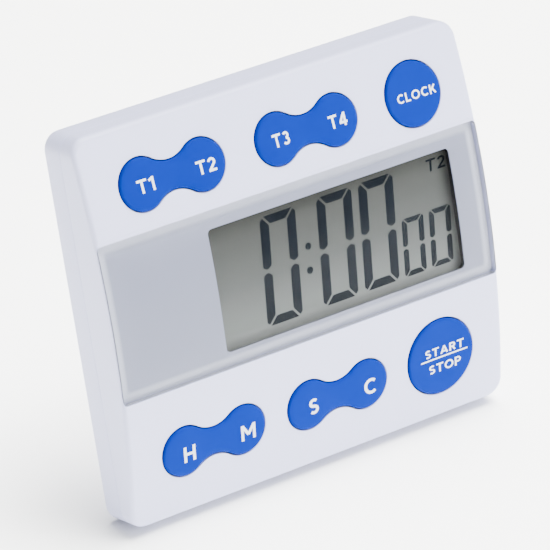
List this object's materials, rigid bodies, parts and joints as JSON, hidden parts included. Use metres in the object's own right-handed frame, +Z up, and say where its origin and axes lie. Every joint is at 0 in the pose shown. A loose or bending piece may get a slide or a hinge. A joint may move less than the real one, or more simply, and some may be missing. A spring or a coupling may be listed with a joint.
{
  "type": "lab timer",
  "caption": "Table-top lab timer: rounded white case with a barrel face, full-width lens over a digital display, rocker and round keys, flip-out stand, magnets and twist battery door.",
  "frame": {"origin": "middle of the footprint at the table, under the timer as it stands on its open stand", "axes": "+Z up, -Y towards the reader, +X to the right as the display is read"},
  "size_m": [0.076, 0.0302, 0.0663],
  "materials": {
    "case_white": "satin",
    "lens_clear": "clear acrylic",
    "mask_grey": "printed ink",
    "display_glass": "clear",
    "reflector_grey": "satin",
    "frame_white": "moulded",
    "strip_rubber": "matte",
    "board_green": "solder mask",
    "chip_black": "epoxy",
    "bright_steel": "bright",
    "part_tan": "fired",
    "buzzer_brass": "rolled",
    "buzzer_cream": "silvered ceramic",
    "spring_steel": "spring wire",
    "seal_rubber": "matte",
    "door_white": "satin",
    "magnet_nickel": "nickel plated",
    "screw_zinc": "zinc plated",
    "stand_white": "satin",
    "foot_rubber": "matte",
    "mat_rubber": "matte",
    "key_blue": "satin"
  },
  "bodies": {
    "case": {"board_parts": "part_tan", "board_screws": "screw_zinc", "button_cell": "bright_steel", "buzzer_ceramic": "buzzer_cream", "buzzer_disc": "buzzer_brass", "buzzer_springs": "spring_steel", "case_screws": "screw_zinc", "chip_cover": "chip_black", "circuit_board": "board_green", "contact_minus": "spring_steel", "contact_plus": "spring_steel", "contact_strips": "strip_rubber", "door_seal": "seal_rubber", "front_shell": "case_white", "keypad_lower": "mat_rubber", "keypad_upper": "mat_rubber", "lcd_frame": "frame_white", "lcd_front_glass": "display_glass", "lcd_rear_glass": "display_glass", "lcd_reflector": "reflector_grey", "lens": "lens_clear", "lens_mask": "mask_grey", "magnets": "magnet_nickel", "quartz_crystal": "bright_steel", "rear_shell": "case_white", "stand_pin": "bright_steel"},
    "stand_arm": {"stand": "stand_white", "stand_foot": "foot_rubber"},
    "door": {"battery_door": "door_white"},
    "t1_t2_key": {"key_t1_t2": "key_blue"},
    "t3_t4_key": {"key_t3_t4": "key_blue"},
    "h_m_key": {"key_h_m": "key_blue"},
    "s_c_key": {"key_s_c": "key_blue"},
    "clock_key": {"key_clock": "key_blue"},
    "start_stop_key": {"key_start_stop": "key_blue"}
  },
  "joints": [
    {"name": "t1_t2_rock", "type": "hinge", "parent": "case", "child": "t1_t2_key", "pos_m": [-0.02125, -0.0019, 0.05719], "axis": [0, 0.2588, 0.9659], "range_deg": [-3.5, 3.5], "stiffness_Nm_per_rad": 0.09, "deforming": ["keypad_upper"]},
    {"name": "t3_t4_rock", "type": "hinge", "parent": "case", "child": "t3_t4_key", "pos_m": [0.00513, -0.0019, 0.05719], "axis": [0, 0.2588, 0.9659], "range_deg": [-3.5, 3.5], "stiffness_Nm_per_rad": 0.09, "deforming": ["keypad_upper"]},
    {"name": "h_m_rock", "type": "hinge", "parent": "case", "child": "h_m_key", "pos_m": [-0.0214, -0.01338, 0.013], "axis": [0, 0.2588, 0.9659], "range_deg": [-3.5, 3.5], "stiffness_Nm_per_rad": 0.09, "deforming": ["keypad_lower"]},
    {"name": "s_c_rock", "type": "hinge", "parent": "case", "child": "s_c_key", "pos_m": [0.00345, -0.01338, 0.013], "axis": [0, 0.2588, 0.9659], "range_deg": [-3.5, 3.5], "stiffness_Nm_per_rad": 0.09, "deforming": ["keypad_lower"]},
    {"name": "clock_press", "type": "slide", "parent": "case", "child": "clock_key", "axis": [0, 0.9659, -0.2588], "range_m": [0, 0.0006], "stiffness_N_per_m": 1500, "deforming": ["keypad_upper"]},
    {"name": "start_stop_press", "type": "slide", "parent": "case", "child": "start_stop_key", "axis": [0, 0.9659, -0.2588], "range_m": [0, 0.0006], "stiffness_N_per_m": 1500, "deforming": ["keypad_lower"]},
    {"name": "stand_fold", "type": "hinge", "parent": "case", "child": "stand_arm", "pos_m": [0, 0.00787, 0.04689], "axis": [1, 0, 0], "range_deg": [-22.3, 0]},
    {"name": "door_turn", "type": "hinge", "parent": "case", "child": "door", "pos_m": [0.0219, 0.00783, 0.04172], "axis": [0, 0.9659, -0.2588], "range_deg": [0, 40]}
  ]
}
